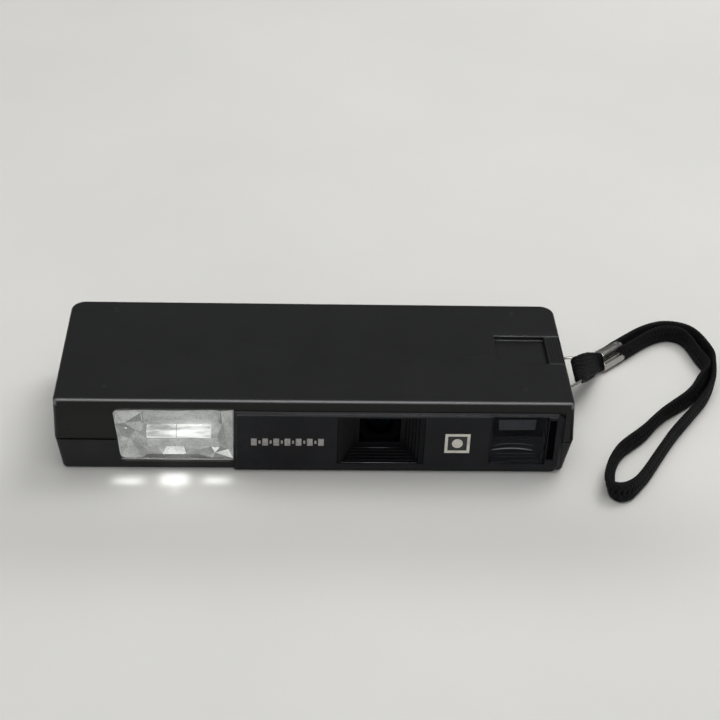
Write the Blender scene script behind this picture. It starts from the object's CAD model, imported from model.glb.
"""A slim flash camera lying flat on a table, with a braided wrist strap.

The long side is X, the front (flash, lens, finder) faces -Y and Z is up from the table.
The strap lies on the table beyond the +X end. Shapes are laid out in millimetres and turned
into metres when meshed; the materials, lights and modifiers work in metres.
"""
import bpy
import math
import random
from mathutils import Matrix, Vector


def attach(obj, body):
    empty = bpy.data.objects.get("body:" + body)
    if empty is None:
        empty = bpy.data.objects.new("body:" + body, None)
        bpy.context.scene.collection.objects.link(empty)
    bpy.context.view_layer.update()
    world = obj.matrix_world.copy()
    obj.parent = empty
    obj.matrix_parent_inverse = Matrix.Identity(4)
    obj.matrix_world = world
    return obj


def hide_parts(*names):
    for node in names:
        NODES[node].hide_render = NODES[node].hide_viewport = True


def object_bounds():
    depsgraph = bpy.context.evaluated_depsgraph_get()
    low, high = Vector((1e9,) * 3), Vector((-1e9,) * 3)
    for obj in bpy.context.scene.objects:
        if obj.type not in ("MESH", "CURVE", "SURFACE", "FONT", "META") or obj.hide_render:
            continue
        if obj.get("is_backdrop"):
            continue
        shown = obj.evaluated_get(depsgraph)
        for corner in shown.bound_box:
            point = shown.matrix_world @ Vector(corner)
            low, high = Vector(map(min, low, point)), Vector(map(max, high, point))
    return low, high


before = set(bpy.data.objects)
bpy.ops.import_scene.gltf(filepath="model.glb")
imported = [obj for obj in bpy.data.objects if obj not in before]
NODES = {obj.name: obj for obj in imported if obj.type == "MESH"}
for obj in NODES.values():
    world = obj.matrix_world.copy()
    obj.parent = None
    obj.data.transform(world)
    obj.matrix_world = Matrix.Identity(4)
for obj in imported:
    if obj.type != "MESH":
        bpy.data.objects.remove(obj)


def plain(value):
    if hasattr(value, "keys"):
        return {str(key): plain(value[key]) for key in value.keys()}
    if hasattr(value, "__iter__") or isinstance(value, Vector):
        return value if isinstance(value, str) else [plain(item) for item in tuple(value)]
    return value if isinstance(value, (str, int, bool)) or value is None else float(value)


LOADED = plain(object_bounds())
random.seed(11)
MM = 0.001


# ------------------------------------------------------------------ material node helpers
class MaterialTree:
    """One node material, with textures that read object coordinates."""

    def __init__(self, name):
        self.material = bpy.data.materials.new(name)
        self.material.use_nodes = True
        self.nodes = self.material.node_tree.nodes
        self.nodes.clear()
        self.output = self.add("ShaderNodeOutputMaterial")
        self.position = self.add("ShaderNodeTexCoord").outputs["Object"]

    def add(self, kind, **properties):
        node = self.nodes.new(kind)
        for key, value in properties.items():
            setattr(node, key, value)
        return node

    def link(self, source, target):
        self.material.node_tree.links.new(source, target)

    def put(self, socket, value):
        """Link an output to the socket, or set a plain value or colour."""
        if hasattr(value, "is_output"):
            self.link(value, socket)
        elif isinstance(value, (tuple, list)) and len(value) == 3 and socket.type == "RGBA":
            socket.default_value = (*value, 1)
        else:
            socket.default_value = value

    def noise(self, scale, detail=3.0, rough=0.55, stretch=None):
        node = self.add("ShaderNodeTexNoise")
        node.inputs["Scale"].default_value = scale
        node.inputs["Detail"].default_value = detail
        node.inputs["Roughness"].default_value = rough
        source = self.position
        if stretch:
            mapping = self.add("ShaderNodeMapping")
            mapping.inputs["Scale"].default_value = stretch
            self.link(source, mapping.inputs["Vector"])
            source = mapping.outputs[0]
        self.link(source, node.inputs["Vector"])
        return node.outputs["Fac"]

    def voronoi(self, scale):
        node = self.add("ShaderNodeTexVoronoi")
        node.inputs["Scale"].default_value = scale
        self.link(self.position, node.inputs["Vector"])
        return node.outputs["Distance"]

    def axes(self, vector):
        node = self.add("ShaderNodeSeparateXYZ")
        self.link(vector, node.inputs[0])
        return node.outputs

    def remap(self, value, from_min, from_max, to_min, to_max):
        node = self.add("ShaderNodeMapRange")
        self.put(node.inputs["Value"], value)
        for key, limit in (("From Min", from_min), ("From Max", from_max),
                           ("To Min", to_min), ("To Max", to_max)):
            node.inputs[key].default_value = limit
        return node.outputs[0]

    def mask(self, value, low, high):
        """0 below low, 1 above high."""
        return self.remap(value, low, high, 0, 1)

    def spread(self, noise, low, high):
        """Stretch the usual range of a noise over low to high."""
        return self.remap(noise, 0.3, 0.7, low, high)

    def math(self, operation, first, second=0.0):
        node = self.add("ShaderNodeMath", operation=operation)
        self.put(node.inputs[0], first)
        self.put(node.inputs[1], second)
        return node.outputs[0]

    def times(self, first, second):
        return self.math("MULTIPLY", first, second)

    def mix(self, factor, first, second):
        node = self.add("ShaderNodeMix", data_type="RGBA")
        self.put(node.inputs["Factor"], factor)
        self.put(node.inputs["A"], first)
        self.put(node.inputs["B"], second)
        return node.outputs["Result"]

    def mottle(self, noise, dark, light):
        return self.mix(self.spread(noise, 0, 1), dark, light)

    def mix_shader(self, factor, first, second):
        node = self.add("ShaderNodeMixShader")
        self.put(node.inputs[0], factor)
        self.link(first.outputs[0], node.inputs[1])
        self.link(second.outputs[0], node.inputs[2])
        return node

    def bump(self, height, strength, distance, normal=None):
        node = self.add("ShaderNodeBump")
        node.inputs["Strength"].default_value = strength
        node.inputs["Distance"].default_value = distance
        self.put(node.inputs["Height"], height)
        if normal is not None:
            self.link(normal, node.inputs["Normal"])
        return node.outputs[0]

    def bevel(self, radius):
        node = self.add("ShaderNodeBevel", samples=4)
        node.inputs["Radius"].default_value = radius
        return node.outputs[0]

    def surface(self, **inputs):
        """Finish with a Principled shader; underscores stand for spaces in input names."""
        shader = self.add("ShaderNodeBsdfPrincipled")
        for key, value in inputs.items():
            self.put(shader.inputs[key.replace("_", " ")], value)
        self.link(shader.outputs[0], self.output.inputs["Surface"])
        return self.material


def shade(colour, factor):
    return tuple(min(1.0, channel * factor) for channel in colour)


# ------------------------------------------------------------------ families of materials
def rub_front(tree, colour, smear):
    """Darken the front face, most of all under its rim, and rub the rim to a grey line."""
    geometry = tree.add("ShaderNodeNewGeometry")
    normal = tree.axes(geometry.outputs["Normal"])
    position = tree.axes(tree.position)
    facing = tree.mask(tree.times(normal["Y"], -1.0), 0.6, 0.95)
    high = tree.remap(position["Z"], from_min=0.0195, from_max=0.0240, to_min=0.22, to_max=0.62)
    colour = tree.mix(tree.times(facing, high), colour, (0.0, 0.0, 0.0))
    # the rim is where the rounded normal is part way between up and front
    turn = tree.times(tree.axes(tree.bevel(radius=0.0008))["Y"], -1.0)
    rim = tree.times(tree.mask(turn, 0.42, 0.68), tree.remap(turn, 0.90, 0.985, 1, 0))
    rim = tree.times(rim, tree.mask(position["Z"], 0.0243, 0.0250))
    rim = tree.times(rim, tree.spread(smear, 0.75, 1.0))
    return tree.mix(rim, colour, (0.19, 0.192, 0.198))


def plastic(name, base, rough, grain, grain_scale, vary, dust, bevel, spec, scratch,
            rubbed_front=False):
    """Moulded plastic with cloudy colour, fine grain, crossed scratches and specks of dust."""
    tree = MaterialTree(name)
    cloud = tree.noise(scale=55, detail=4)
    fine = tree.noise(scale=grain_scale, detail=2)
    smear = tree.noise(scale=24, detail=5, rough=0.6, stretch=(1, 3.5, 1))
    along = tree.noise(scale=420, detail=3, rough=0.5, stretch=(0.06, 2.2, 1.0))
    across = tree.noise(scale=300, detail=3, rough=0.5, stretch=(1.6, 0.08, 1.0))
    scratches = tree.math("MAXIMUM", tree.mask(along, 0.68, 0.74), tree.mask(across, 0.70, 0.76))
    specks = tree.remap(tree.voronoi(900), 0.0, 0.16, 1, 0)
    patches = tree.mask(tree.noise(scale=140, detail=2), 0.62, 0.72)
    dusty = tree.times(tree.times(specks, patches), dust)
    colour = tree.mottle(cloud, shade(base, 1 - vary), shade(base, 1 + vary))
    colour = tree.mix(tree.times(scratches, 0.12 * scratch), colour, (0.18, 0.18, 0.18))
    colour = tree.mix(dusty, colour, (0.35, 0.34, 0.32))
    if rubbed_front:
        colour = rub_front(tree, colour, smear)
    roughness = tree.math("ADD", tree.spread(smear, rough - 0.06, rough + 0.07),
                          tree.times(scratches, -0.06))
    rounded = tree.bevel(bevel) if bevel else None
    height = tree.math("ADD", tree.times(fine, 1.0), tree.times(scratches, -0.5 * scratch))
    return tree.surface(
        Base_Color=colour, Roughness=roughness,
        Normal=tree.bump(height, strength=grain, distance=0.00004, normal=rounded),
        Specular_IOR_Level=spec)


def metal(name, base, rough, vary, bevel, grain_scale, stretch, bump):
    """Metal with brushed grain and small dull spots."""
    tree = MaterialTree(name)
    cloud = tree.noise(scale=160, detail=4)
    grain = tree.noise(scale=grain_scale, detail=2, rough=0.5, stretch=stretch)
    colour = tree.mottle(cloud, shade(base, 1 - vary), shade(base, 1 + vary))
    spots = tree.mask(tree.noise(scale=700, detail=3), 0.64, 0.74)
    colour = tree.mix(tree.times(spots, 0.35), colour, shade(base, 0.35))
    roughness = tree.math("ADD", tree.spread(grain, rough * 0.7, rough * 1.5),
                          tree.times(spots, 0.15))
    rounded = tree.bevel(bevel) if bevel else None
    return tree.surface(Base_Color=colour, Metallic=1.0, Roughness=roughness,
                        Normal=tree.bump(grain, bump, distance=0.00003, normal=rounded))


def clear(name, tint, gloss, rough, coat, haze, ior, bump):
    """Clear plastic or coated glass: Fresnel reflections over a slightly hazy body."""
    tree = MaterialTree(name)
    smear = tree.noise(scale=120, detail=4)
    lines = tree.noise(scale=900, detail=2, rough=0.5, stretch=(0.08, 1, 2.0))
    fresnel = tree.add("ShaderNodeFresnel")
    fresnel.inputs["IOR"].default_value = ior
    reflection = tree.times(fresnel.outputs[0], gloss)
    height = tree.math("ADD", smear, tree.times(lines, 0.3))
    normal = tree.bump(height, bump, distance=0.0002)
    glossy = tree.add("ShaderNodeBsdfGlossy")
    tree.put(glossy.inputs["Color"], coat)
    tree.put(glossy.inputs["Roughness"], tree.spread(smear, rough * 0.6, rough * 1.8))
    tree.link(normal, glossy.inputs["Normal"])
    body = tree.add("ShaderNodeBsdfTransparent")
    tree.put(body.inputs["Color"], tree.mottle(smear, shade(tint, 0.97), tint))
    milky = tree.add("ShaderNodeBsdfDiffuse")
    tree.put(milky.inputs["Color"], (0.8, 0.8, 0.8))
    haziness = tree.times(tree.remap(lines, 0.3, 0.75, 0.3, 1.4), haze)
    hazy = tree.mix_shader(haziness, body, milky)
    whole = tree.mix_shader(reflection, hazy, glossy)
    tree.link(whole.outputs[0], tree.output.inputs["Surface"])
    return tree.material


def glow(name, base, level, rough):
    """Dark plastic that also carries a little piped light."""
    tree = MaterialTree(name)
    cloud = tree.noise(scale=260, detail=3)
    return tree.surface(
        Base_Color=tree.mottle(cloud, shade(base, 0.8), shade(base, 1.2)),
        Roughness=tree.spread(tree.noise(scale=900, detail=2), rough * 0.8, rough * 1.2),
        Specular_IOR_Level=0.15,
        Normal=tree.bump(tree.noise(scale=1500, detail=2), strength=0.1, distance=0.00003),
        Emission_Color=(0.95, 0.96, 1.0),
        Emission_Strength=tree.spread(cloud, level * 0.8, level * 1.2))


def foil_grade(name, level):
    """Crumpled foil of a given brightness, with a little light of its own."""
    tree = MaterialTree(name)
    tint = (level, level, level * 0.985)
    crumple = tree.noise(scale=420, detail=4, rough=0.6)
    fine = tree.noise(scale=1700, detail=3)
    cloud = tree.noise(scale=210, detail=4)
    colour = tree.mix(tree.mask(cloud, 0.35, 0.65), shade(tint, 0.8), tint)
    height = tree.math("ADD", crumple, tree.times(fine, 0.12))
    normal = tree.bump(height, strength=0.4, distance=0.0004)
    return tree.surface(
        Base_Color=colour, Metallic=0.35, Roughness=tree.spread(fine, 0.2, 0.42),
        Normal=normal, Specular_IOR_Level=0.4, Emission_Color=(0.99, 1.0, 0.985),
        Emission_Strength=tree.spread(cloud, level * 0.2, level * 0.55))


def strap_nylon(name, base, spec):
    """Black nylon fibre with a faint fuzz at grazing angles."""
    tree = MaterialTree(name)
    cloud = tree.noise(scale=120, detail=4)
    fibre = tree.noise(scale=5200, detail=2, rough=0.6, stretch=(1, 1, 0.3))
    colour = tree.mottle(cloud, shade(base, 0.7), shade(base, 1.35))
    fuzz = tree.add("ShaderNodeLayerWeight")
    fuzz.inputs["Blend"].default_value = 0.35
    colour = tree.mix(tree.times(fuzz.outputs["Facing"], 0.05), colour, (0.09, 0.09, 0.095))
    return tree.surface(Base_Color=colour, Roughness=tree.spread(fibre, 0.5, 0.8),
                        Normal=tree.bump(fibre, strength=0.5, distance=0.00006),
                        Specular_IOR_Level=spec)


# ------------------------------------------------------------------ single materials
def badge_two_tone():
    """White on the raised face of the badge, black where it is cut deeper."""
    tree = MaterialTree("badge_two_tone")
    deep = tree.mask(tree.axes(tree.position)["Y"], -0.02896, -0.02892)
    cloud = tree.noise(scale=500, detail=3)
    white = tree.mottle(cloud, (0.62, 0.60, 0.53), (0.78, 0.76, 0.69))
    black = tree.mix(cloud, (0.008, 0.008, 0.009), (0.014, 0.014, 0.015))
    colour = tree.mix(deep, white, black)
    return tree.surface(
        Base_Color=colour, Roughness=tree.spread(cloud, 0.32, 0.5),
        Normal=tree.bump(tree.noise(scale=2500, detail=2), strength=0.2, distance=0.00003))


def silver_ink():
    tree = MaterialTree("silver_ink")
    cloud = tree.noise(scale=900, detail=4)
    worn = tree.mask(tree.noise(scale=2600, detail=3), 0.55, 0.7)
    colour = tree.mottle(cloud, (0.26, 0.25, 0.24), (0.46, 0.45, 0.43))
    colour = tree.mix(tree.times(worn, 0.6), colour, (0.02, 0.02, 0.02))
    return tree.surface(
        Base_Color=colour, Metallic=0.35, Roughness=tree.spread(cloud, 0.35, 0.55),
        Normal=tree.bump(tree.noise(scale=3000, detail=2), strength=0.3, distance=0.00003))


def tube_core():
    """Frosted white band of the flash tube, lit unevenly from within."""
    tree = MaterialTree("tube_core")
    cloud = tree.noise(scale=260, detail=4, stretch=(0.35, 1, 2))
    colour = tree.mix(tree.mask(cloud, 0.35, 0.65), (0.66, 0.66, 0.64), (0.95, 0.95, 0.93))
    return tree.surface(
        Base_Color=colour, Roughness=tree.spread(cloud, 0.12, 0.35),
        Normal=tree.bump(cloud, strength=0.3, distance=0.0003),
        Emission_Color=(1, 1, 0.98), Emission_Strength=tree.remap(cloud, 0.4, 0.62, 0.18, 1.0))


# ------------------------------------------------------------------ material values
SHELL = (0.0060, 0.0064, 0.0061)
# name, colour, roughness, grain bump, grain scale, colour variation, dust, edge bevel (m),
# specular level, scratch strength, and True where the front is rubbed
PLASTICS = [
    ("shell_satin", SHELL, 0.32, 0.36, 2400, 0.2, 0.05, 0.0007, 0.27, 0.1, True),
    ("shell_satin_lower", (0.0215, 0.0222, 0.0224), 0.36, 0.3, 2400, 0.2, 0.04, 0.00022, 0.13, 0.1),
    ("fascia_smooth", (0.0192, 0.0197, 0.0218), 0.30, 0.22, 3000, 0.2, 0.03, 0.00015, 0.05, 0.1),
    ("hood_black", (0.0026, 0.0028, 0.0040), 0.34, 0.2, 3000, 0.2, 0.03, 0.0001, 0.12, 0.1),
    ("door_satin", shade(SHELL, 0.95), 0.40, 0.42, 2200, 0.22, 0.1, 0.0002, 0.28, 0.2),
    ("button_satin", shade(SHELL, 0.95), 0.38, 0.3, 2600, 0.2, 0.08, 0.00012, 0.28, 0.2),
    ("inner_black", (0.0010, 0.0012, 0.0017), 0.65, 0.3, 2000, 0.3, 0.02, 0, 0.02, 0.3),
    ("white_nylon", (0.62, 0.6, 0.54), 0.45, 0.2, 2000, 0.06, 0.1, 0.0001, 0.5, 0.3),
    ("board_brown", (0.22, 0.12, 0.04), 0.5, 0.2, 1500, 0.15, 0.2, 0, 0.5, 0.3),
    ("component_body", (0.20, 0.09, 0.04), 0.35, 0.1, 1500, 0.3, 0.1, 0.0002, 0.5, 0.3),
    ("capacitor_sleeve", (0.012, 0.025, 0.07), 0.25, 0.1, 900, 0.2, 0.1, 0, 0.5, 0.3),
    ("cell_jacket", (0.05, 0.06, 0.07), 0.3, 0.1, 900, 0.2, 0.1, 0, 0.5, 0.3),
    ("sill_grey", (0.028, 0.028, 0.028), 0.3, 0.15, 1800, 0.2, 0.1, 0, 0.4, 0.3),
    ("sill_edge_pale", (0.42, 0.42, 0.41), 0.2, 0.15, 1200, 0.25, 0.1, 0, 0.5, 0.3),
    ("slot_black", (0.0006, 0.0006, 0.0008), 0.7, 0.1, 1500, 0.2, 0.0, 0, 0.02, 0.3),
    ("finder_dark_field", (0.0035, 0.0035, 0.005), 0.4, 0.05, 900, 0.2, 0.0, 0, 0.15, 0.3),
    ("ledge_rubbed", (0.055, 0.055, 0.058), 0.25, 0.1, 2200, 0.25, 0.05, 0, 0.5, 0.3),
    ("ledge_rubbed_dim", (0.022, 0.022, 0.024), 0.25, 0.1, 2200, 0.25, 0.05, 0, 0.4, 0.3),
]
# name, colour, roughness, colour variation, edge bevel (m), grain scale, grain stretch,
# bump strength
METALS = [
    ("chrome_worn", (0.40, 0.39, 0.37), 0.17, 0.14, 0.0001, 2400, (1, 1, 0.15), 0.084),
    ("lug_wire", (0.42, 0.41, 0.39), 0.24, 0.15, 0, 3000, (1, 1, 1), 0.072),
    ("spring_steel", (0.4, 0.4, 0.41), 0.3, 0.15, 0, 2500, (0.1, 1, 1), 0.096),
    ("shutter_steel", (0.06, 0.06, 0.065), 0.4, 0.2, 0, 2500, (0.1, 1, 1), 0.096),
    ("contact_brass", (0.62, 0.46, 0.2), 0.28, 0.12, 0, 2500, (0.1, 1, 1), 0.084),
    ("winding_copper", (0.5, 0.2, 0.08), 0.35, 0.15, 0, 6000, (0.05, 0.05, 1), 0.5),
]
WHITE = (1, 1, 1)
# name, body tint, reflection strength, roughness, reflection colour, haze, index of
# refraction, bump strength
CLEARS = [
    ("clear_window", (0.96, 0.97, 0.965), 0.9, 0.03, WHITE, 0.05, 1.49, 0.025),
    ("viewfinder_window_clear", (0.78, 0.79, 0.81), 0.08, 0.05, (0.9, 0.9, 1.0), 0.001, 1.49, 0.001),
    ("viewfinder_optic", (0.6, 0.62, 0.65), 0.02, 0.05, (0.8, 0.85, 1.0), 0.0005, 1.49, 0.001),
    ("coated_glass", (0.07, 0.10, 0.16), 0.08, 0.04, (0.2, 0.6, 0.65), 0.001, 1.6, 0.025),
    ("tube_glass", (0.95, 0.95, 0.93), 1.0, 0.05, WHITE, 0.25, 1.49, 0.025),
    ("amber_lens", (0.9, 0.32, 0.06), 1.0, 0.05, WHITE, 0.2, 1.49, 0.025),
]
# name, colour, light level, roughness
GLOWS = [
    ("finder_far_light", (0.012, 0.012, 0.014), 0.03, 0.4),
    ("optic_edge_bright", (0.1, 0.1, 0.11), 0.24, 0.25),
    ("optic_edge_dim", (0.03, 0.03, 0.033), 0.05, 0.25),
]
# name, colour, specular level
STRAP_NYLONS = [
    ("strap_nylon_black", (0.0034, 0.0035, 0.0040), 0.10),
    ("strap_core_black", (0.0012, 0.0012, 0.0013), 0.05),
]
# name, brightness; a facet's grade is its place in this list
FOIL_GRADES = [("reflector_foil_%d" % grade, level)
               for grade, level in enumerate((0.08, 0.18, 0.26, 0.33, 0.40, 0.50, 1.1))]
BRIGHTEST = len(FOIL_GRADES) - 1

MATERIALS = {}
for make, table in ((plastic, PLASTICS), (metal, METALS), (clear, CLEARS), (glow, GLOWS),
                    (strap_nylon, STRAP_NYLONS), (foil_grade, FOIL_GRADES)):
    for row in table:
        MATERIALS[row[0]] = make(*row)
MATERIALS["badge_two_tone"] = badge_two_tone()
MATERIALS["silver_ink"] = silver_ink()
MATERIALS["tube_core"] = tube_core()
FOIL = [MATERIALS[name] for name, _ in FOIL_GRADES]

# CAD piece -> material
LOOK = dict(
    top_cover="shell_satin_lower", bottom_cover="shell_satin", front_fascia="fascia_smooth",
    badge_plate="badge_two_tone", lens_hood="hood_black", lens_barrel="inner_black",
    lens_retaining_ring="inner_black", front_lens_element="coated_glass",
    rear_lens_element="coated_glass", shutter_plate="inner_black",
    shutter_pivot_pin="spring_steel", shutter_blade="shutter_steel",
    shutter_spring="spring_steel", shutter_screws="spring_steel", inner_chassis="inner_black",
    chassis_screws="spring_steel", film_sensing_lever="spring_steel",
    sensing_lever_pin="contact_brass", drive_gear="white_nylon", gear_axle="contact_brass",
    advance_rack="inner_black", advance_slide="button_satin",
    slide_return_spring="spring_steel", release_button="button_satin",
    release_bar="spring_steel", release_spring="spring_steel",
    viewfinder_window="viewfinder_window_clear", viewfinder_housing="inner_black",
    viewfinder_front_lens="viewfinder_optic", viewfinder_eyepiece="viewfinder_optic",
    flash_window="clear_window", flash_reflector="reflector_foil_4", xenon_tube="tube_glass",
    tube_electrodes="spring_steel", flash_circuit_board="board_brown",
    circuit_components="component_body", oscillator_transformer="winding_copper",
    trigger_coil="winding_copper", main_capacitor="capacitor_sleeve", ready_lamp="amber_lens",
    ready_lamp_lens="amber_lens", flash_switch_knob="button_satin",
    switch_contact="contact_brass", battery_tray="inner_black",
    battery_cell_front="cell_jacket", battery_cell_rear="cell_jacket",
    battery_link_plate="contact_brass", battery_contacts="contact_brass",
    contact_springs="spring_steel", battery_door="door_satin", film_door="door_satin",
    film_door_window="viewfinder_window_clear", door_hinge_pin="spring_steel",
    door_latch="button_satin", cartridge_springs="spring_steel", strap_bail="lug_wire",
    wrist_strap="strap_core_black", strap_ferrule="chrome_worn", flash_wiring="component_body")
for piece, look in LOOK.items():
    slots = NODES[piece].data.materials
    if slots:
        for i in range(len(slots)):
            slots[i] = MATERIALS[look]
    else:
        slots.append(MATERIALS[look])


# ------------------------------------------------------------------ mesh helpers
def metres(points):
    return [Vector(point) * MM for point in points]


def mesh_object(name, verts, faces, material, smooth=True, body="camera_body"):
    """Make an object from vertices in metres; material may be a list of slots."""
    mesh = bpy.data.meshes.new(name)
    mesh.from_pydata([tuple(vert) for vert in verts], [], faces)
    mesh.validate()
    mesh.update()
    ob = bpy.data.objects.new(name, mesh)
    bpy.context.scene.collection.objects.link(ob)
    if smooth:
        for polygon in mesh.polygons:
            polygon.use_smooth = True
    for entry in (material if isinstance(material, list) else [material]):
        mesh.materials.append(entry)
    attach(ob, body)
    return ob


def side_faces(sides, rings, base=0):
    """Quads that join successive rings of vertices."""
    faces = []
    for i in range(rings - 1):
        for k in range(sides):
            a, b = base + i * sides + k, base + i * sides + (k + 1) % sides
            faces.append((a, b, b + sides, a + sides))
    return faces


def closed_faces(sides, rings, base=0):
    last = base + (rings - 1) * sides
    return side_faces(sides, rings, base) + [tuple(range(base, base + sides))[::-1],
                                             tuple(range(last, last + sides))]


def circle(count):
    return [2 * math.pi * k / count for k in range(count)]


def neighbours(items, i):
    return items[max(i - 1, 0)], items[min(i + 1, len(items) - 1)]


def smooth_curve(points, step):
    """Rows about step apart on a Catmull-Rom curve; any columns after x, y, z follow along."""
    out = []
    last = len(points) - 1
    for i in range(last):
        four = points[max(i - 1, 0)], points[i], points[i + 1], points[min(i + 2, last)]
        count = max(2, int(math.dist(four[1][:3], four[2][:3]) / step))
        for j in range(count):
            s = j / count
            out.append([0.5 * (2 * p1 + (-p0 + p2) * s + (2 * p0 - 5 * p1 + 4 * p2 - p3) * s * s
                               + (-p0 + 3 * p1 - 3 * p2 + p3) * s ** 3)
                        for p0, p1, p2, p3 in zip(*four)])
    out.append(list(points[-1]))
    return out


def resample(rows, step):
    """Evenly spaced rows, measured along the first three columns."""
    out = [rows[0]]
    need = step
    for start, end in zip(rows, rows[1:]):
        length = math.dist(start[:3], end[:3])
        at = 0.0
        while length - at >= need:
            at += need
            s = at / length
            out.append([x + (y - x) * s for x, y in zip(start, end)])
            need = step
        need -= length - at
    return out


def tube(name, points, radius, material, sides=12, closed=True):
    """Round tube through the points, in mm, with a frame that does not twist."""
    points = [Vector(point) for point in points]
    verts = []
    across = (points[1] - points[0]).normalized().orthogonal().normalized()
    for i, point in enumerate(points):
        before, after = neighbours(points, i)
        tangent = (after - before).normalized()
        across = (across - tangent * across.dot(tangent)).normalized()
        other = tangent.cross(across)
        for angle in circle(sides):
            verts.append(point + (across * math.cos(angle) + other * math.sin(angle)) * radius)
    faces = (closed_faces if closed else side_faces)(sides, len(points))
    return mesh_object(name, metres(verts), faces, material)


# ------------------------------------------------------------------ ferrule and strap layout
# the ferrule's centre, and its unit axes along, across its width and out of its front side
FERRULE_CENTRE = Vector((102.3, 31.8, 3.72))
FERRULE_TILT = (-0.40, 0.05, 0.915)
ALONG = Vector((7.9, 7.0, 0)).normalized()
WIDE = Vector(FERRULE_TILT).normalized()
WIDE = (WIDE - ALONG * WIDE.dot(ALONG)).normalized()
OUT = ALONG.cross(WIDE).normalized()

STRAP_WIDTH, STRAP_THICKNESS = 6.5, 1.75
STRAP_IN_FERRULE = (6.3, 1.5)   # width and thickness where the ferrule pinches it
STRAP_LIFT = 0.28               # clearance under the strap's lower edge
# plan view of the doubled run out of the ferrule: x, y, half the gap between the two bands
DOUBLED_RUN = [
    (99.4, 28.95, 0.9), (102.4, 31.7, 1.0), (106.9, 36.0, 1.85), (117.1, 44.7, 1.65),
    (125.3, 48.1, 1.35), (132.3, 44.8, 1.75), (135.8, 33.3, 2.15), (136.3, 25.0, 0.95)]
# plan view of the hand loop, down its inner side, round the end and back: x, y, lean (degrees)
HAND_LOOP = [
    (131.6, 16.8, 18), (125.6, 8.2, 6), (114.6, -2.0, -4), (106.4, -12.0, 3),
    (98.1, -20.4, 3), (94.0, -27.6, 10),
    (92.0, -34.3, 23), (91.0, -38.5, 18), (92.2, -40.8, 5), (94.4, -41.8, -11),
    (97.1, -40.8, -12), (100.2, -37.6, -4),
    (104.4, -31.7, -6), (109.5, -23.3, -5), (116.3, -12.4, -2), (124.4, -1.2, 2),
    (131.0, 8.3, 1), (134.9, 16.1, 3)]


def plan_normal(points, i):
    """Unit normal, to the left of travel, of a plan-view path."""
    before, after = neighbours(points, i)
    dx, dy = after[0] - before[0], after[1] - before[1]
    length = math.hypot(dx, dy)
    return -dy / length, dx / length


def doubled_band(side):
    """One upright band of the doubled run, to the left (1) or right (-1) of its centre line."""
    out = []
    for i, (x, y, gap) in enumerate(DOUBLED_RUN):
        nx, ny = plan_normal(DOUBLED_RUN, i)
        out.append((x + nx * gap * side, y + ny * gap * side, 0))
    return out


def strap_rows():
    """Rows of x, y, z, width direction (3), width and thickness round the whole strap."""
    plan = doubled_band(-1) + HAND_LOOP + doubled_band(1)[::-1]
    rows = []
    for i, (x, y, lean) in enumerate(plan):
        if i < 2 or i > len(plan) - 3:
            rows.append([x, y, 3.72, *FERRULE_TILT, *STRAP_IN_FERRULE])
            continue
        nx, ny = plan_normal(plan, i)
        angle = math.radians(lean)
        rise = 0.5 * (STRAP_WIDTH * math.cos(angle) + STRAP_THICKNESS * math.sin(abs(angle)))
        rows.append([x, y, STRAP_LIFT + rise,
                     -nx * math.sin(angle), -ny * math.sin(angle), math.cos(angle),
                     STRAP_WIDTH, STRAP_THICKNESS])
    return smooth_curve(rows, step=0.8)


# ------------------------------------------------------------------ braided strap
STRANDS_EACH_WAY = 8
BRAID_PITCH = 12.0       # length over which a strand goes once round
BRAID_STEP = 0.24        # spacing of the strand sections
STRAND_THICKNESS = 0.24  # half thickness of a strand
WEAVE_HEIGHT = 0.16      # how far a strand rises and dips at crossings
STRAND_SIDES = 6
CORE_SIDES = 16
FLATNESS = 0.62          # exponent of the strap's squared-off oval section


def strap_frames(rows):
    """Centre, tangent, width direction, normal, width and thickness at each row."""
    out = []
    for i, row in enumerate(rows):
        before, after = neighbours(rows, i)
        tangent = (Vector(after[:3]) - Vector(before[:3])).normalized()
        wide = Vector(row[3:6])
        wide = (wide - tangent * wide.dot(tangent)).normalized()
        out.append((Vector(row[:3]), tangent, wide, wide.cross(tangent).normalized(),
                    row[6], row[7]))
    return out


def signed_power(value, exponent):
    return math.copysign(abs(value) ** exponent, value)


def section_point(section, angle):
    """Point and outward normal on the strap's oval section."""
    centre, _, wide, normal, width, thickness = section
    cosine, sine = math.cos(angle), math.sin(angle)
    across = signed_power(cosine, FLATNESS) * width / 2
    up = signed_power(sine, FLATNESS) * thickness / 2
    normal_across = signed_power(cosine, 2 - FLATNESS) / (width / 2)
    normal_up = signed_power(sine, 2 - FLATNESS) / (thickness / 2)
    return (centre + wide * across + normal * up,
            (wide * normal_across + normal * normal_up).normalized())


def unit_or(vector, fallback):
    return vector.normalized() if vector.length > 1e-9 else fallback


def strand_verts(sections, start, direction):
    """One strand that winds round the strap, over and under those of the other direction."""
    turn = 2 * math.pi / BRAID_PITCH
    path = []
    for i, section in enumerate(sections):
        s = i * BRAID_STEP
        point, normal = section_point(section, start + direction * turn * s)
        weave = direction * math.cos(STRANDS_EACH_WAY * turn * s)
        path.append((point + normal * (WEAVE_HEIGHT * weave - STRAND_THICKNESS), normal))
    verts = []
    for i, (point, normal) in enumerate(path):
        _, section_tangent, section_wide, _, width, thickness = sections[i]
        before, after = neighbours(path, i)
        tangent = unit_or(after[0] - before[0], section_tangent)
        side = unit_or(tangent.cross(normal), section_wide)
        up = side.cross(tangent)
        half_width = (width + thickness) * 0.93 / STRANDS_EACH_WAY * 0.60
        for angle in circle(STRAND_SIDES):
            verts.append(point + side * math.cos(angle) * half_width
                         + up * math.sin(angle) * STRAND_THICKNESS)
    return verts


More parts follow.
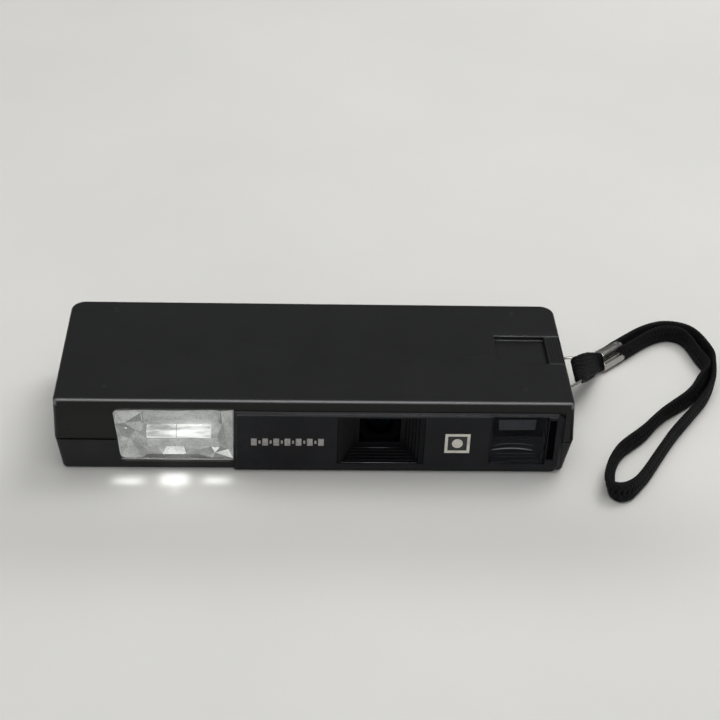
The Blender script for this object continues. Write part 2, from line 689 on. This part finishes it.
def braided_loop():
    """The braided strap and the dark core that fills it; returns the braid."""
    rows = strap_rows()
    sections = strap_frames(resample(rows, BRAID_STEP))
    verts, faces = [], []
    for direction in (1, -1):
        for start in circle(STRANDS_EACH_WAY):
            faces += closed_faces(STRAND_SIDES, len(sections), base=len(verts))
            verts += strand_verts(sections, start, direction)
    braid = mesh_object("strap_loop", metres(verts), faces, MATERIALS["strap_nylon_black"],
                        body="strap")
    verts = []
    coarse = strap_frames(resample(rows, 0.8))
    for *axes, width, thickness in coarse:
        slimmer = (*axes, width - 0.7, thickness - 0.6)
        verts += [section_point(slimmer, angle)[0] for angle in circle(CORE_SIDES)]
    mesh_object("strap_loop_core", metres(verts), closed_faces(CORE_SIDES, len(coarse)),
                MATERIALS["strap_core_black"], body="strap")
    return braid


# ------------------------------------------------------------------ cords round the lug
def ferrule_lane(distance, offset, width):
    """The two edges of the cords at a distance behind the ferrule's centre."""
    centre = FERRULE_CENTRE - ALONG * distance + OUT * offset
    return centre + WIDE * width / 2, centre - WIDE * width / 2


# far edge and near edge of the fan of cords: out of the ferrule, round the crossbar and back
LUG_RUN = [
    ferrule_lane(3.0, -0.8, 6.1), ferrule_lane(5.0, -0.85, 6.3),
    *((Vector(far), Vector(near)) for far, near in (
        ((95.3, 26.0, 9.0), (98.0, 25.2, 2.6)), ((92.6, 22.2, 11.8), (95.3, 18.2, 5.6)),
        ((90.2, 18.8, 13.7), (92.0, 11.6, 9.4)), ((88.4, 16.4, 14.35), (88.9, 5.9, 12.6)),
        ((87.1, 15.9, 14.3), (87.2, 4.5, 14.0)), ((86.15, 15.8, 13.4), (86.15, 4.3, 13.1)),
        ((86.3, 15.8, 12.3), (86.3, 4.5, 12.1)), ((87.4, 16.0, 11.5), (87.5, 5.6, 11.3)),
        ((89.3, 18.4, 10.9), (90.4, 10.8, 7.8)), ((91.8, 21.8, 9.4), (94.0, 17.6, 4.2)),
        ((94.6, 25.2, 7.3), (97.0, 24.4, 1.6)))),
    ferrule_lane(5.0, 0.85, 6.2), ferrule_lane(3.0, 0.8, 6.0)]


def cords(name, edges, count, half_thickness, material):
    """Parallel two-ply cords that share out the band between two edges."""
    step, sides = 0.45, 10
    overlap = 0.56                          # half width of a cord, as a share of its lane
    wobble_size, wobble_rate, wobble_shift = 0.06, 1.3, 1.9
    ply_depth, ply_twist = 0.07, 1.5
    dense = smooth_curve([[*far, *near] for far, near in edges], step)
    verts, faces = [], []
    for k in range(count):
        share = (k + 0.5) / count
        line = [Vector(row[:3]) * (1 - share) + Vector(row[3:6]) * share for row in dense]
        faces += closed_faces(sides, len(line), base=len(verts))
        for i, point in enumerate(line):
            before, after = neighbours(line, i)
            tangent = (after - before).normalized()
            s = step * (i + 1)
            across = Vector(dense[i][3:6]) - Vector(dense[i][:3])
            half_width = across.length / count * overlap
            wide = (across - tangent * across.dot(tangent)).normalized()
            up = wide.cross(tangent)
            wobble = wobble_size * math.sin(wobble_rate * s + wobble_shift * k)
            for angle in circle(sides):
                ply = 1.0 + ply_depth * math.cos(2 * (angle - ply_twist * s - k))
                verts.append(point + wide * (math.cos(angle) * half_width * ply + wobble)
                             + up * math.sin(angle) * half_thickness * ply)
    mesh_object(name, metres(verts), faces, material, body="strap")


def lug_cords():
    cords("strap_lug_cords", LUG_RUN, count=6, half_thickness=0.62,
          material=MATERIALS["strap_nylon_black"])
    inset = 0.06
    inner_run = [(far + (near - far) * inset, near + (far - near) * inset)
                 for far, near in LUG_RUN]
    cords("strap_lug_filler", inner_run, count=2, half_thickness=0.3,
          material=MATERIALS["strap_core_black"])


strap_loop = braided_loop()
lug_cords()
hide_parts("wrist_strap")


# ------------------------------------------------------------------ ferrule
FERRULE_HALF_LENGTH, FERRULE_HALF_DEPTH, FERRULE_HALF_WIDTH = 5.3, 2.2, 3.55
FERRULE_CORNER = 1.15
# inset from each end, scale: a turned-in lip and a shallow groove
FERRULE_END = [(0, 0.93), (0.1, 0.985), (0.3, 1.0), (0.8, 1.0), (1.0, 0.985), (1.2, 1.0)]
FERRULE_MIDDLE = [(-1.5, 1.0), (0, 0.99), (1.5, 1.0)]   # distance from the centre, scale


def ferrule_outline():
    """Rounded rectangle (depth, width), with its longer flats divided finely."""
    x = FERRULE_HALF_DEPTH - FERRULE_CORNER
    y = FERRULE_HALF_WIDTH - FERRULE_CORNER
    corners = []
    for cx, cy, start in ((x, y, 0), (-x, y, 90), (-x, -y, 180), (x, -y, 270)):
        for k in range(7):
            angle = math.radians(start + 90 * k / 6)
            corners.append((cx + FERRULE_CORNER * math.cos(angle),
                            cy + FERRULE_CORNER * math.sin(angle)))
    outline = []
    pieces = 26
    for start, end in zip(corners, corners[1:] + corners[:1]):
        outline.append(start)
        dx, dy = end[0] - start[0], end[1] - start[1]
        if math.hypot(dx, dy) > 0.8:
            for k in range(1, pieces):
                outline.append((start[0] + dx * k / pieces, start[1] + dy * k / pieces))
    return outline


def seam_offset(depth, width):
    """The front side bows out and carries a rolled seam, a groove with soft lips."""
    if depth >= -FERRULE_HALF_DEPTH * 0.9:
        return 0.0
    groove, seam_place = 0.34, -0.2         # depth and half width; place across the width
    lip, lip_place, lip_spread = 0.05, 0.6, 0.2
    bow = 0.16
    away = abs(width - seam_place)
    offset = groove * max(0.0, 1 - away / groove)
    offset -= lip * math.exp(-((away - lip_place) / lip_spread) ** 2)
    return offset - bow * (1 - (width / FERRULE_HALF_WIDTH) ** 2)


def rolled_ferrule():
    outline = ferrule_outline()
    count = len(outline)
    stations = ([(-FERRULE_HALF_LENGTH + inset, scale) for inset, scale in FERRULE_END]
                + FERRULE_MIDDLE
                + [(FERRULE_HALF_LENGTH - inset, scale) for inset, scale in FERRULE_END[::-1]])
    verts = []
    for s, scale in stations:
        for depth, width in outline:
            verts.append(FERRULE_CENTRE + ALONG * s
                         + OUT * -(depth + seam_offset(depth, width)) * (1 + (scale - 1) * 0.5)
                         + WIDE * width * scale)
    faces = [(b, a, d, c) for a, b, c, d in side_faces(count, len(stations))]
    # the inner wall, joined to the outer one at both ends
    base = len(verts)
    for s in (-FERRULE_HALF_LENGTH, FERRULE_HALF_LENGTH):
        for depth, width in outline:
            verts.append(FERRULE_CENTRE + ALONG * s + OUT * -(depth * 0.8) + WIDE * (width * 0.9))
    last = (len(stations) - 1) * count
    for q in range(count):
        following = (q + 1) % count
        a, b = base + q, base + following
        faces.append((a, b, b + count, a + count))
        faces.append((a, q, following, b))
        faces.append((last + q, a + count, b + count, last + following))
    ferrule = mesh_object("ferrule_rolled", metres(verts), faces, MATERIALS["chrome_worn"],
                          body="strap")
    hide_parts("strap_ferrule")


rolled_ferrule()

# ------------------------------------------------------------------ strap lug: one bent wire
LUG_Z = 13
LUG_RADIUS = 0.45
# x, y along the wire: out of the body, along the crossbar and back in
LUG_PATH = [
    (76.6, -1.6), (79.0, -1.6), (81.2, -1.5), (82.6, -0.4), (84.8, 1.6), (86.4, 3.0),
    (87.2, 4.4), (87.3, 10.2), (87.3, 15.6), (87.0, 16.7), (86.0, 17.2), (84.2, 17.0),
    (82.6, 16.4), (81.2, 16.05), (79.0, 16.0), (76.6, 16.0)]


def lug_wire():
    path = smooth_curve([(x, y, LUG_Z) for x, y in LUG_PATH], step=0.35)
    wire = tube("lug_wire_bent", path, LUG_RADIUS, MATERIALS["lug_wire"], sides=14)
    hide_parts("strap_bail")


lug_wire()

# ------------------------------------------------------------------ flash reflector
# Corners of the folded foil, x, y, z: a round the open mouth, b to d across the back,
# g at the left end, k at the right end, m along the bottom, n halfway along the top.
FOIL_POINTS = dict(
    a0=(-61.45, -27.30, 22.52), a1=(-52.72, -27.30, 22.83), a2=(-31.46, -27.30, 23.05),
    a3=(-25.26, -27.30, 23.11), a4=(-25.32, -27.30, 11.63), a5=(-25.40, -27.30, 4.30),
    a6=(-31.80, -27.30, 4.41), a7=(-43.29, -27.30, 4.23), a8=(-53.52, -27.30, 4.23),
    a9=(-60.26, -27.30, 4.33), a10=(-61.13, -27.30, 12.47), a11=(-61.42, -27.30, 17.49),
    b0=(-53.42, -21.60, 13.33), b1=(-32.35, -21.60, 13.45), c0=(-52.66, -20.80, 7.03),
    c1=(-33.44, -20.80, 7.21), d0=(-52.37, -21.80, 4.68), d1=(-32.65, -21.80, 4.85),
    g0=(-58.85, -26.20, 17.14), g1=(-53.73, -25.40, 20.50), g2=(-53.77, -23.60, 15.92),
    g4=(-57.44, -25.00, 10.34), g6=(-55.85, -24.20, 12.87), g7=(-59.69, -26.40, 12.18),
    k0=(-29.08, -26.40, 21.87), k1=(-28.77, -24.90, 15.98), k2=(-30.61, -23.90, 9.74),
    k3=(-27.73, -25.90, 10.52), k5=(-29.70, -24.40, 6.59), k6=(-27.14, -26.20, 7.22),
    k7=(-31.27, -25.00, 4.86), k8=(-30.03, -24.20, 15.83), m0=(-49.19, -22.40, 4.86),
    m1=(-46.74, -21.80, 4.73), m2=(-41.11, -21.80, 4.78), m3=(-47.50, -24.80, 3.97),
    m4=(-40.34, -24.60, 4.27), m5=(-36.64, -23.60, 4.71), m6=(-51.56, -24.40, 4.42),
    n0=(-42.73, -27.20, 22.56), n1=(-42.74, -21.60, 13.35),
)
# corners of each facet, foil grade
FOIL_FACETS = [
    ("a0 a1 g1", 4), ("a0 g1 g0", 5), ("g0 g1 g2", 0), ("a11 a0 g0", 4), ("g1 a1 b0 g2", 3),
    ("g0 g2 b0 g6", 4), ("g6 b0 c0", 3), ("g6 c0 g4", 5), ("a11 g0 g6 g7", 2), ("g7 g6 g4", 3),
    ("a11 g7 a10", 4), ("a10 g7 g4 a9", 4), ("g4 c0 d0 m6", 3), ("g4 m6 a8", 2),
    ("a9 g4 a8", 5), ("a1 n0 n1 b0", 4), ("n0 a2 b1 n1", 4), ("b0 b1 c1 c0", 2),
    ("c0 c1 d1 m2", 5), ("c0 m2 m1 d0", 5), ("d0 m1 m0", 4), ("d0 m0 m6", 3), ("m0 m1 m3", 5),
    ("m6 m0 m3", 3), ("m6 m3 a8", 3), ("a8 m3 a7", 4), ("m1 m2 m4 m3", 6), ("m3 m4 a7", 6),
    ("m2 d1 m5", 4), ("m2 m5 m4", 3), ("m4 m5 a6", 2), ("m4 a6 a7", 3), ("a2 k0 k8", 4),
    ("a2 k8 b1", 3), ("k0 k1 k8", 0), ("k0 a3 k1", 5), ("a3 a4 k1", 4), ("k1 a4 k3", 3),
    ("b1 k8 k2 c1", 3), ("k8 k1 k2", 4), ("k1 k3 k2", 2), ("c1 k2 k5 d1", 5),
    ("k2 k3 k6 k5", 3), ("k3 a4 a5 k6", 4), ("d1 k5 k7", 6), ("k5 k6 k7", 0), ("k7 k6 a5", 6),
    ("m5 d1 k7", 2), ("m5 k7 a6", 3), ("k7 a5 a6", 1),
]
# facets that stay flat
SMOOTH_PANELS = ("a1 n0 n1 b0", "n0 a2 b1 n1", "b0 b1 c1 c0", "c0 c1 d1 m2", "c0 m2 m1 d0")
CREASES = ("a11 g0", "g1 g2", "g2 b0", "g4 a9", "g6 g4", "k0 k1", "k1 k3", "k2 k5", "k5 k6",
           "k6 k7", "d1 k5", "k1 a4")


def reflector_foil():
    names = list(FOIL_POINTS)
    verts = metres(FOIL_POINTS.values())
    faces, grades = [], []
    for corners, grade in FOIL_FACETS:
        facet = [names.index(corner) for corner in corners.split()]
        first = verts[facet[1]] - verts[facet[0]]
        second = verts[facet[2]] - verts[facet[0]]
        if first.cross(second).y > 0:       # every facet faces the front
            facet.reverse()
        if corners in SMOOTH_PANELS:
            faces.append(tuple(facet))
            grades.append(grade)
            continue
        # crumple: an off-centre point in each panel, lifted or sunk a little
        middle = sum((verts[k] for k in facet), Vector()) / len(facet)
        pull = verts[facet[random.randrange(len(facet))]]
        middle = (middle.lerp(pull, random.uniform(0.05, 0.4))
                  + Vector((0, random.uniform(-0.25, 0.25), 0)) * MM)
        verts.append(middle)
        for a, b in zip(facet, facet[1:] + facet[:1]):
            faces.append((a, b, len(verts) - 1))
            if grade < BRIGHTEST:
                varied = grade + random.choice((-1, 0, 0, 0, 0, 1))
                grades.append(max(1, min(5, varied)))
            else:
                grades.append(BRIGHTEST)
    foil = mesh_object("reflector_folded", verts, faces, FOIL, smooth=False)
    for polygon, grade in zip(foil.data.polygons, grades):
        polygon.material_index = grade
    gauge = foil.modifiers.new("foil_gauge", "SOLIDIFY")
    gauge.thickness = 0.00012
    gauge.offset = -1
    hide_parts("flash_reflector")


def foil_creases():
    """Narrow creases along the main folds, alternately dark and bright."""
    lift = Vector((0, -0.06, 0.03))
    for k, ends in enumerate(CREASES):
        start, end = (Vector(FOIL_POINTS[corner]) for corner in ends.split())
        tube("foil_crease_%d" % k, [start + lift, (start + end) / 2 + lift, end + lift],
             0.06, FOIL[5 if k % 2 else 1], sides=6)
    tube("foil_fold_left", [(-52.9, -20.9, 13.2), (-52.8, -21.0, 10.0), (-52.6, -21.0, 6.6)],
         0.12, FOIL[2], sides=6)


def gusset_hole():
    """Small hole in the left gusset with a lit rim."""
    centre = Vector((-58.4, -26.25, 15.0))
    radius, sides = 0.62, 12
    disc = [centre] + [centre + Vector((radius * math.cos(angle), -0.02, radius * math.sin(angle)))
                       for angle in circle(sides)]
    mesh_object("gusset_hole", metres(disc),
                [(0, 1 + (q + 1) % sides, 1 + q) for q in range(sides)],
                FOIL[1], smooth=False)
    lip = [centre + Vector(offset)
           for offset in ((-0.35, -0.08, 0.2), (0.0, -0.1, 0.33), (0.3, -0.08, 0.1))]
    tube("gusset_hole_lip", lip, 0.16, FOIL[BRIGHTEST], sides=6)


reflector_foil()
foil_creases()
gusset_hole()

# ------------------------------------------------------------------ flash tube
TUBE_Y, TUBE_Z, TUBE_RADIUS = -22.8, 11.5, 2.12
# x, radius scale; small swellings keep the edge from being ruled
TUBE_STATIONS = [
    (-52.4, 0.9), (-52.3, 1.0), (-51.6, 1.0), (-50.4, 1.01), (-48.4, 1.0), (-46.2, 1.01),
    (-44.6, 0.99), (-43.2, 1.0), (-42.0, 0.99), (-39.6, 1.01), (-37.4, 1.0), (-35.4, 1.01),
    (-34.0, 1.0), (-32.6, 1.0), (-32.5, 0.9)]


def flash_tube():
    sides = 28
    verts = [(x, TUBE_Y + TUBE_RADIUS * scale * math.cos(angle),
              TUBE_Z + TUBE_RADIUS * scale * math.sin(angle))
             for x, scale in TUBE_STATIONS for angle in circle(sides)]
    last = (len(TUBE_STATIONS) - 1) * sides
    faces = [(a, d, c, b) for a, b, c, d in side_faces(sides, len(TUBE_STATIONS))]
    faces += [tuple(range(sides)), tuple(range(last, last + sides))[::-1]]
    glass = mesh_object("xenon_tube_frosted", metres(verts), faces, MATERIALS["tube_core"])
    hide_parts("xenon_tube")


def trigger_wire():
    """A turn of wire round the tube."""
    steps = 24
    radius = TUBE_RADIUS + 0.05
    ring = []
    for k in range(steps + 1):
        angle = 2 * math.pi * k / steps
        ring.append((-43.1, TUBE_Y + radius * math.cos(angle), TUBE_Z + radius * math.sin(angle)))
    tube("trigger_wire_band", ring, 0.1, MATERIALS["spring_steel"],
         sides=8, closed=False)


flash_tube()
trigger_wire()


# ------------------------------------------------------------------ flash pane and its sill
def flash_pane():
    """Clear pane, rounded at its two left corners, with its front edge drawn in."""
    left, right, bottom, top = -61.85, -25.3, 4.5, 23.6
    corner = 1.8
    bottom_shift = 1.6                      # the lower left corner starts further right
    inset = 0.18
    outline = []

    def add_corner(cx, cz, start, sweep):
        for k in range(9):
            angle = math.radians(start + sweep * k / 8)
            outline.append((cx + corner * math.cos(angle), cz + corner * math.sin(angle)))

    add_corner(left + corner, top - corner, start=180, sweep=-90)
    outline.extend([(right, top), (right, bottom)])
    add_corner(left + bottom_shift + corner, bottom + corner, start=270, sweep=-85)
    middle_x, middle_z = (left + right) / 2, (bottom + top) / 2
    verts = []
    for y, shrink in ((-27.42, 0), (-27.9, 0), (-28.02, inset)):
        verts += [(x + (shrink if x < middle_x else -shrink), y,
                   z + (shrink if z < middle_z else -shrink)) for x, z in outline]
    pane = mesh_object("flash_pane", metres(verts), closed_faces(len(outline), 3),
                       MATERIALS["clear_window"], smooth=False)
    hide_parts("flash_window")


def window_sill():
    """Moulded sill under the pane, with a pale upper edge."""
    left, right, front, back, bottom, top = -60.0, -25.35, -28.12, -27.9, 3.55, 4.55
    verts = [(left + 0.5, front, bottom + 0.2), (right, front, bottom + 0.2),
             (right, back, bottom), (left, back, bottom),
             (left, front, top), (right, front, top), (right, back, top), (left, back, top)]
    faces = [(0, 1, 5, 4), (1, 2, 6, 5), (2, 3, 7, 6), (3, 0, 4, 7), (4, 5, 6, 7), (3, 2, 1, 0)]
    mesh_object("window_sill", metres(verts), faces, MATERIALS["sill_grey"],
                smooth=False)
    edge = [(-60.0, -28.08, 4.62), (-50, -28.08, 4.6), (-38, -28.08, 4.6), (-25.4, -28.08, 4.6)]
    tube("window_sill_edge", edge, 0.13, MATERIALS["sill_edge_pale"], sides=8)


flash_pane()
window_sill()

# ------------------------------------------------------------------ thin edges on the front
# name, radius, material, points
EDGES = [
    ("fascia_upper_edge", 0.1, "ledge_rubbed_dim",
     [(-24.9, -28.24, 22.5), (0, -28.24, 22.5), (40, -28.24, 22.5), (74.6, -28.24, 22.5)]),
    ("seam_shadow_left", 0.16, "slot_black",
     [(-78.4, -27.86, 12.1), (-74, -28.03, 12.1), (-61.4, -28.03, 12.1)]),
    ("hood_inner_ledge", 0.12, "ledge_rubbed_dim",
     [(11.8, -22.45, 5.25), (20, -22.45, 5.25), (28.4, -22.45, 5.25)]),
    ("hood_outer_ledge", 0.15, "ledge_rubbed",
     [(8.2, -28.42, 3.98), (20, -28.42, 3.98), (31.7, -28.42, 3.98)]),
    ("hood_left_ledge", 0.06, "ledge_rubbed_dim",
     [(8.35, -27.35, 4.1), (8.35, -27.35, 12), (8.35, -27.35, 20.9)]),
    ("fascia_right_edge", 0.09, "ledge_rubbed_dim",
     [(75.9, -28.0, 2.6), (75.95, -28.0, 12), (75.9, -28.0, 20.6)]),
]
for name, radius, look, points in EDGES:
    tube(name, points, radius, MATERIALS[look], sides=10)


def finder_slot():
    """Dark upright strip to the right of the finder."""
    left, right, y, bottom, top = 72.22, 74.48, -27.96, 5.42, 20.98
    verts = [(left, y, bottom), (right, y, bottom), (right, y, top), (left, y, top)]
    mesh_object("finder_slot_back", metres(verts), [(0, 1, 2, 3)], MATERIALS["slot_black"],
                smooth=False)


finder_slot()

# ------------------------------------------------------------------ viewfinder
# curved front edges of the optic: name, left x, right x, z at mid, sag at the ends, radius, look
OPTIC_EDGES = [
    ("finder_optic_edge_upper", 55.2, 68.6, 10.9, 1.35, 0.09, "optic_edge_dim"),
    ("finder_optic_edge_main", 55.2, 68.0, 8.95, 0.95, 0.12, "optic_edge_bright"),
    ("finder_optic_edge_lower", 55.4, 70.2, 6.9, 0.3, 0.06, "optic_edge_dim"),
    ("finder_optic_edge_low", 55.4, 70.2, 5.6, 0.2, 0.05, "optic_edge_dim"),
]
OPTIC_Y = -27.0


def optic_edge(name, left, right, z_mid, sag, radius, look):
    points = []
    for k in range(21):
        u = -1 + 2 * k / 20
        points.append(((left + right) / 2 + u * (right - left) / 2,
                       OPTIC_Y + 0.25 * u * u, z_mid - sag * u * u))
    tube(name, points, radius, MATERIALS[look], sides=8)


def finder_view():
    """Rear opening of the tunnel as seen through the optic, and the darker lower field."""
    opening = [(56.5, -26.95, 19.9), (68.3, -26.95, 20.1), (68.0, -26.95, 16.2),
               (56.9, -26.95, 15.9)]
    mesh_object("finder_far_opening", metres(opening), [(3, 2, 1, 0)],
                MATERIALS["finder_far_light"], smooth=False)
    field = [(55.1, -26.85, 12.6), (57.5, -26.85, 13.4), (64, -26.85, 13.7),
             (71.0, -26.85, 13.2), (71.0, -26.85, 4.9), (55.1, -26.85, 4.9)]
    mesh_object("finder_lower_field", metres(field), [(5, 4, 3, 2, 1, 0)],
                MATERIALS["finder_dark_field"], smooth=False)


for edge in OPTIC_EDGES:
    optic_edge(*edge)
finder_view()


# ------------------------------------------------------------------ row of bars on the fascia
def fascia_bars():
    """Thirteen raised bars, large and small by turns."""
    x, back, front = -19.9, -28.77, -28.77 - 0.05
    gap = 0.55
    large, small = (1.75, 10.75, 13.45), (0.6, 11.5, 12.7)   # width, bottom, top
    verts, faces = [], []
    for i in range(13):
        width, bottom, top = small if i % 2 else large
        b = len(verts)
        for y in (back, front):
            verts += [(x, y, bottom), (x + width, y, bottom), (x + width, y, top), (x, y, top)]
        faces += [(b + 4, b + 5, b + 6, b + 7), (b, b + 4, b + 7, b + 3),
                  (b + 5, b + 1, b + 2, b + 6), (b + 7, b + 6, b + 2, b + 3),
                  (b, b + 1, b + 5, b + 4)]
        x += width + gap
    mesh_object("fascia_bars", metres(verts), faces, MATERIALS["silver_ink"],
                smooth=False)


fascia_bars()

# ------------------------------------------------------------------ table
# light thrown on the table in front of the flash:
# centre x, y, reach x, y (mm), fall-off power x, y, strength
LIGHT_PATCHES = [
    (-57.8, -33.2, 4.7, 2.0, 3.2, 2.2, 0.46), (-43.6, -32.4, 4.6, 3.4, 3.6, 3.0, 0.60),
    (-30.4, -32.9, 4.3, 2.0, 3.2, 2.2, 0.46), (-43.0, -36.9, 2.4, 2.8, 2.2, 2.2, 0.12),
    (-58.0, -30.6, 4.8, 0.9, 4.0, 2.2, 0.05), (-30.4, -30.4, 4.6, 0.9, 4.0, 2.2, 0.05)]


def table_top():
    tree = MaterialTree("table_top")

    def power(distance, exponent):
        return tree.math("POWER", tree.math("ABSOLUTE", distance), exponent)

    def falloff(distance, strength):
        return tree.times(tree.math("POWER", 2.718, tree.times(distance, -1.0)), strength)

    cloud = tree.noise(scale=6, detail=4, rough=0.5)
    fine = tree.noise(scale=900, detail=3)
    colour = tree.mottle(cloud, (0.592, 0.589, 0.566), (0.636, 0.631, 0.609))
    position = tree.axes(tree.position)
    total = None
    for x, y, reach_x, reach_y, power_x, power_y, strength in LIGHT_PATCHES:
        away_x = tree.math("DIVIDE", tree.math("SUBTRACT", position["X"], x * MM), reach_x * MM)
        away_y = tree.math("DIVIDE", tree.math("SUBTRACT", position["Y"], y * MM), reach_y * MM)
        distance = tree.math("ADD", power(away_x, power_x), power(away_y, power_y))
        patch = falloff(distance, strength)
        total = patch if total is None else tree.math("ADD", total, patch)
    # the strip in front of the camera gets less of the room light
    strip_y, reach_y, reach_x = 58 * MM, 25 * MM, 125 * MM
    away_y = power(tree.math("DIVIDE", tree.math("ADD", position["Y"], strip_y), reach_y), 2.0)
    away_x = power(tree.math("DIVIDE", position["X"], reach_x), 6.0)
    dim = falloff(tree.math("ADD", away_y, away_x), strength=0.20)
    colour = tree.mix(dim, colour, (0.0, 0.0, 0.0))
    uneven = tree.times(total, tree.spread(tree.noise(scale=160, detail=3), 0.8, 1.15))
    return tree.surface(Base_Color=colour, Roughness=0.7,
                        Normal=tree.bump(fine, strength=0.15, distance=0.0001),
                        Emission_Color=(1, 1, 0.98), Emission_Strength=uneven,
                        Specular_IOR_Level=0.25)


def table():
    bpy.ops.mesh.primitive_plane_add(size=8, location=(0, 0, -0.00002))
    plane = bpy.context.object
    plane.name = "table_plane"
    plane.data.materials.append(table_top())
    plane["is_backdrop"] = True


# ------------------------------------------------------------------ world, lights, camera
def soft_room():
    """Grey surroundings that brighten towards straight up."""
    world = bpy.data.worlds.new("soft_room")
    bpy.context.scene.world = world
    world.use_nodes = True
    nodes, links = world.node_tree.nodes, world.node_tree.links
    nodes.clear()
    output = nodes.new("ShaderNodeOutputWorld")
    background = nodes.new("ShaderNodeBackground")
    coordinates = nodes.new("ShaderNodeTexCoord")
    axes = nodes.new("ShaderNodeSeparateXYZ")
    ramp = nodes.new("ShaderNodeValToRGB")
    stops = ramp.color_ramp.elements
    stops[0].position = 0.0
    stops[0].color = (0.16, 0.16, 0.165, 1)
    stops[1].position = 1.0
    stops[1].color = (1.0, 1.0, 0.99, 1)
    stops.new(0.55).color = (0.26, 0.26, 0.265, 1)
    stops.new(0.8).color = (0.62, 0.62, 0.62, 1)
    links.new(coordinates.outputs["Generated"], axes.inputs[0])
    links.new(axes.outputs["Z"], ramp.inputs[0])
    links.new(ramp.outputs[0], background.inputs["Color"])
    background.inputs["Strength"].default_value = 0.95
    links.new(background.outputs[0], output.inputs["Surface"])


def area(name, place, target, size, power, color, size_y=None):
    """Area light aimed at the target, in metres."""
    light = bpy.data.lights.new(name, "AREA")
    light.energy = power
    light.color = color
    light.size = size
    if size_y:
        light.shape = "RECTANGLE"
        light.size_y = size_y
    ob = bpy.data.objects.new(name, light)
    bpy.context.scene.collection.objects.link(ob)
    ob.location = place
    aim = Vector(target) - Vector(place)
    ob.rotation_euler = aim.to_track_quat("-Z", "Y").to_euler()
    ob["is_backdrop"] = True
    return ob


def lights():
    """Three soft lights kept out of reflections, and a strip seen only in reflections."""
    key = area("key_right", place=(0.50, 0.48, 0.95), target=(0.02, 0.0, 0.0), size=0.55,
               power=5.4, color=(1.0, 0.995, 0.985))
    overhead = area("overhead_soft", place=(0.05, 0.12, 1.3), target=(0, 0, 0), size=1.0,
                    power=4.6, color=(1.0, 1.0, 0.99))
    fill = area("fill_front", place=(-0.1, -0.9, 0.95), target=(0, 0, 0), size=0.9,
                power=2.6, color=(0.985, 0.99, 1.0))
    for light in (key, overhead, fill):
        light.visible_glossy = False
    strip = area("edge_strip", place=(0.0, -0.80, 0.78), target=(0, -0.02, 0.02), size=1.3,
                 size_y=0.34, power=17.0, color=(1, 1, 1))
    strip.visible_diffuse = False


def view_camera():
    """Camera in front of and above the object, looking back and down at it."""
    place = Vector((-9.49, -420.41, 315.45)) * MM
    right = Vector((0.99888, -0.03276, 0.03427))
    up = Vector((-0.00943, 0.57108, 0.82084))
    back = Vector((-0.04646, -0.82024, 0.57012))
    camera = bpy.data.cameras.new("view_camera")
    camera.lens = 80
    camera.sensor_width = 36
    camera.clip_start = 0.01
    ob = bpy.data.objects.new("view_camera", camera)
    bpy.context.scene.collection.objects.link(ob)
    rows = [(*axes, offset) for *axes, offset in zip(right, up, back, place)]
    ob.matrix_world = Matrix((*rows, (0, 0, 0, 1)))
    bpy.context.scene.camera = ob


table()
soft_room()
lights()
view_camera()
view = bpy.context.scene.view_settings
view.view_transform = "Standard"
view.look = "None"
view.exposure = 0.0

{"after_load": LOADED, "before_finish": plain(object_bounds())}
